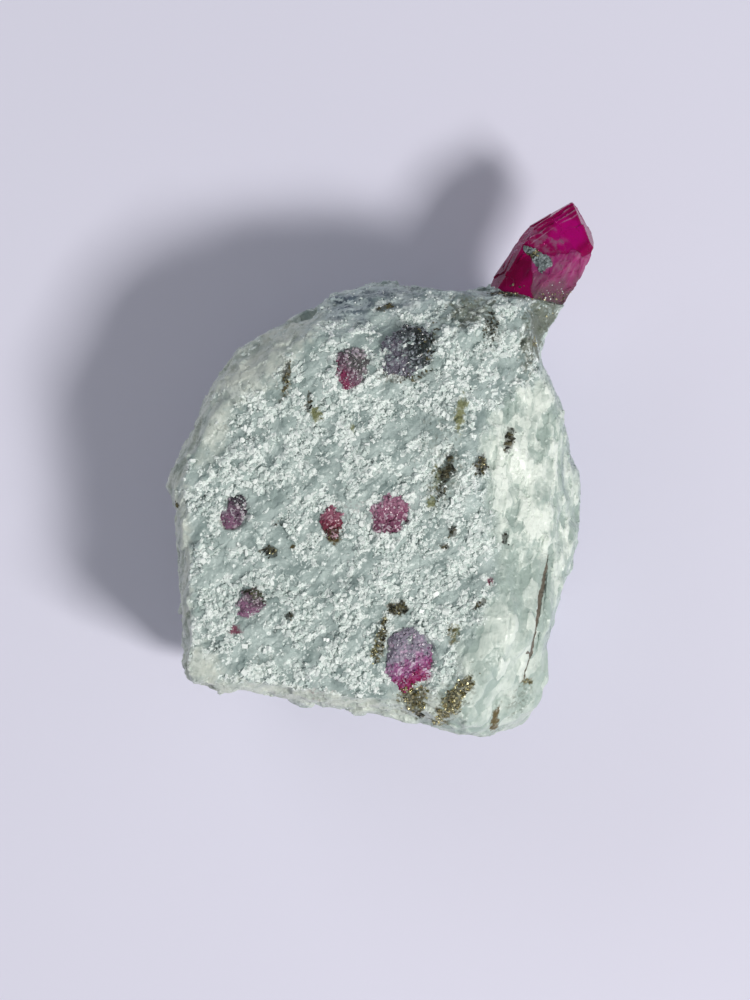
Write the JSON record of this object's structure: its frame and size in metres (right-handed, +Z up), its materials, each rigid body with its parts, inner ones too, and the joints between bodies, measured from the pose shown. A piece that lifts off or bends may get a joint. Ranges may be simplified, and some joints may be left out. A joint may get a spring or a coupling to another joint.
{
  "type": "ruby in matrix",
  "caption": "Pale granular marble hand specimen with a ruby crystal standing out of its shoulder and smaller rubies in its broken face, lying on its flat back for display.",
  "frame": {"origin": "middle of the specimen's box, on the surface that it lies on", "axes": "+Z up out of the granular face, +Y along the face towards the standing crystal's end, +X across it"},
  "size_m": [0.0476, 0.0598, 0.0263],
  "materials": {
    "marble": "broken, sugary, slightly translucent",
    "ruby": "vitreous, deep magenta",
    "granular_ruby": "rough broken crystal",
    "dark_ruby": "rough crystal with dark flakes"
  },
  "bodies": {
    "root": {"matrix": "marble", "ruby_crystal": "ruby", "ruby_lower": "granular_ruby", "ruby_round": "granular_ruby", "ruby_small": "granular_ruby", "ruby_left": "granular_ruby", "ruby_corner": "granular_ruby", "ruby_upper": "granular_ruby", "ruby_dark": "dark_ruby"}
  },
  "joints": []
}
